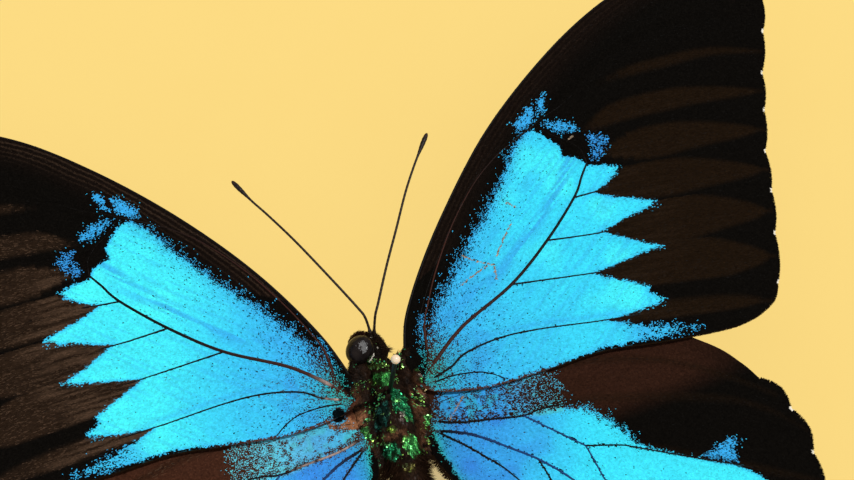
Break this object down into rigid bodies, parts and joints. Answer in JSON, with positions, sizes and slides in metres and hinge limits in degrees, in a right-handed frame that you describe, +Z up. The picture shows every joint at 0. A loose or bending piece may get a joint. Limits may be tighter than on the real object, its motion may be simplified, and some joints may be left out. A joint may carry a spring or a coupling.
{
  "type": "spread ulysses swallowtail butterfly on a pin",
  "caption": "Pinned museum specimen of a large blue-and-black tailed swallowtail, wings spread flat, on an insect pin in a small pale block.",
  "frame": {"origin": "middle of the block's underside", "axes": "+X to the specimen's right, +Y towards its head, +Z up, its back upwards"},
  "size_m": [0.123, 0.1015, 0.0373],
  "materials": {
    "wing_scales": "velvety overlapping scales, metallic blue within black-brown, silky brown patches between the outer veins",
    "body_scales": "black-brown hair and scales with iridescent green patches",
    "chitin": "satin dark chitin under fine scales",
    "eye": "glossy black, finely faceted",
    "pin_steel": "blackened steel",
    "pin_head": "pale pinkish nylon",
    "block": "pale cream paint over fine-grained wood"
  },
  "bodies": {
    "root": {"abdomen": "body_scales", "antenna_left": "chitin", "antenna_right": "chitin", "eye_left": "eye", "eye_right": "eye", "forewing_left": "wing_scales", "forewing_right": "wing_scales", "head": "body_scales", "hindwing_left": "wing_scales", "hindwing_right": "wing_scales", "leg_fore_left": "chitin", "leg_fore_right": "chitin", "leg_hind_left": "chitin", "leg_hind_right": "chitin", "leg_mid_left": "chitin", "leg_mid_right": "chitin", "palp_left": "body_scales", "palp_right": "body_scales", "proboscis": "chitin", "prothorax": "body_scales", "stand_base": "block", "stand_pin": "pin_steel", "stand_pin_head": "pin_head", "thorax": "body_scales"}
  },
  "joints": []
}
